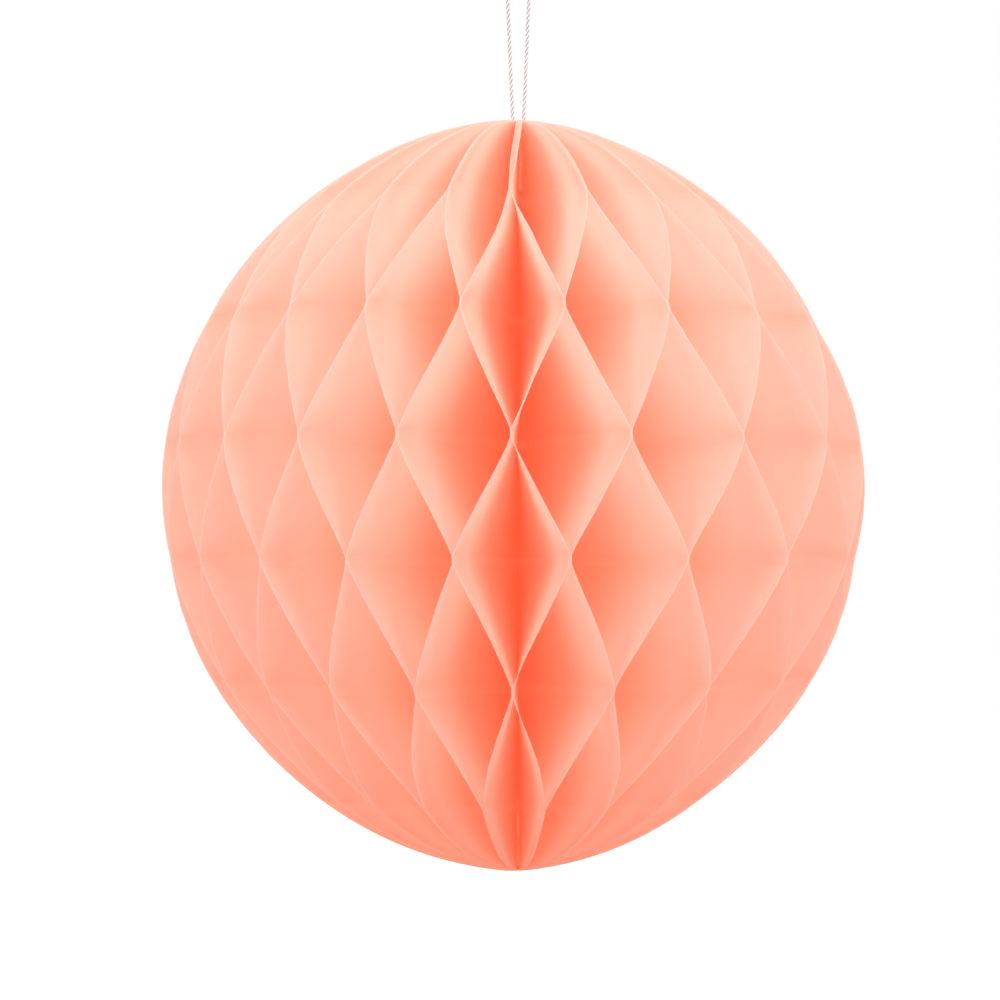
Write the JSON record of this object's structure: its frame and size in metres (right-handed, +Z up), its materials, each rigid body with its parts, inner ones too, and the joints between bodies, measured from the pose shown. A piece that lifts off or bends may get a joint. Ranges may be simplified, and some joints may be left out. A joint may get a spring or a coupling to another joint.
{
  "type": "honeycomb paper ball",
  "caption": "Hanging ball of tissue paper half discs, bound along a central spine and glued line by line into an open honeycomb, with a looped cord at the top.",
  "frame": {"origin": "middle of the spine, which is the centre of the ball", "axes": "+Z up along the spine towards the hanging loop, -Y towards the side that the picture shows, +X to that view's right"},
  "size_m": [0.1871, 0.1868, 0.243],
  "materials": {
    "tissue": "matte",
    "binding": "matte",
    "cord": "matte"
  },
  "bodies": {
    "root": {"sheet_01": "tissue", "sheet_02": "tissue", "sheet_03": "tissue", "sheet_04": "tissue", "sheet_05": "tissue", "sheet_06": "tissue", "sheet_07": "tissue", "sheet_08": "tissue", "sheet_09": "tissue", "sheet_10": "tissue", "sheet_11": "tissue", "sheet_12": "tissue", "sheet_13": "tissue", "sheet_14": "tissue", "sheet_15": "tissue", "sheet_16": "tissue", "sheet_17": "tissue", "sheet_18": "tissue", "sheet_19": "tissue", "sheet_20": "tissue", "sheet_21": "tissue", "sheet_22": "tissue", "sheet_23": "tissue", "sheet_24": "tissue", "sheet_25": "tissue", "sheet_26": "tissue", "sheet_27": "tissue", "sheet_28": "tissue", "sheet_29": "tissue", "sheet_30": "tissue", "sheet_31": "tissue", "sheet_32": "tissue", "sheet_33": "tissue", "sheet_34": "tissue", "sheet_35": "tissue", "sheet_36": "tissue", "sheet_37": "tissue", "sheet_38": "tissue", "sheet_39": "tissue", "sheet_40": "tissue", "spine_binding_top": "binding", "spine_binding_bottom": "binding", "hanging_cord": "cord", "cord_knot": "cord"}
  },
  "joints": []
}
